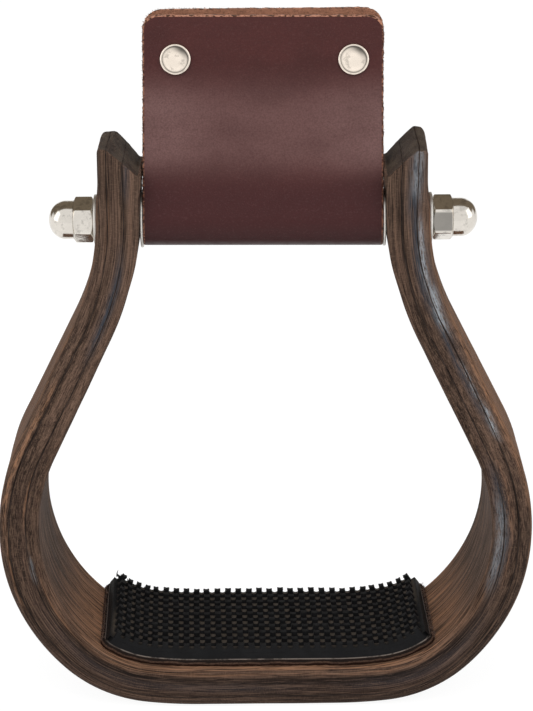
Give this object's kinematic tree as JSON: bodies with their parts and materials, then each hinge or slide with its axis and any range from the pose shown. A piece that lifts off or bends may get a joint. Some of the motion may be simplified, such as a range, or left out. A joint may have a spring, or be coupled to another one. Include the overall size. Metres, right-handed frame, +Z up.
{
  "type": "riding stirrup",
  "caption": "Pear-shaped bent wood riding stirrup with a pinned rubber tread, a sleeved cross bolt with dome nuts and a folded leather flap that turns on it.",
  "frame": {"origin": "under the middle of the tread, on the surface that the stirrup stands on", "axes": "+Z up from the tread to the cross bolt, +X along the cross bolt to the right as seen from the front, +Y to the back"},
  "size_m": [0.1724, 0.0508, 0.225],
  "materials": {
    "wood_face": "dark oiled veneer with streaky grain",
    "wood_core": "dark oiled core wood",
    "pad_leather": "raw dark brown leather",
    "black_rubber": "matt moulded rubber",
    "zinc_plate": "zinc plated",
    "nickel_plate": "polished nickel plate",
    "cover_leather": "smooth oxblood leather, semi-gloss"
  },
  "bodies": {
    "frame": {"wood_inner_layer": "wood_face", "wood_core_layer": "wood_core", "wood_outer_layer": "wood_face", "tread_leather": "pad_leather", "tread_mat": "black_rubber", "cross_rod": "zinc_plate", "rod_sleeve": "zinc_plate", "inner_washer_left": "zinc_plate", "inner_washer_right": "zinc_plate", "outer_washer_left": "zinc_plate", "outer_washer_right": "zinc_plate", "acorn_nut_left": "nickel_plate", "acorn_nut_right": "nickel_plate"},
    "cover": {"leather_cover": "cover_leather", "rivet_cap_left": "nickel_plate", "rivet_cap_right": "nickel_plate", "rivet_post_left": "nickel_plate", "rivet_post_right": "nickel_plate"}
  },
  "joints": [
    {"name": "cover_swing", "type": "hinge", "parent": "frame", "child": "cover", "pos_m": [0, 0, 0.1603], "axis": [1, 0, 0], "continuous": true}
  ]
}
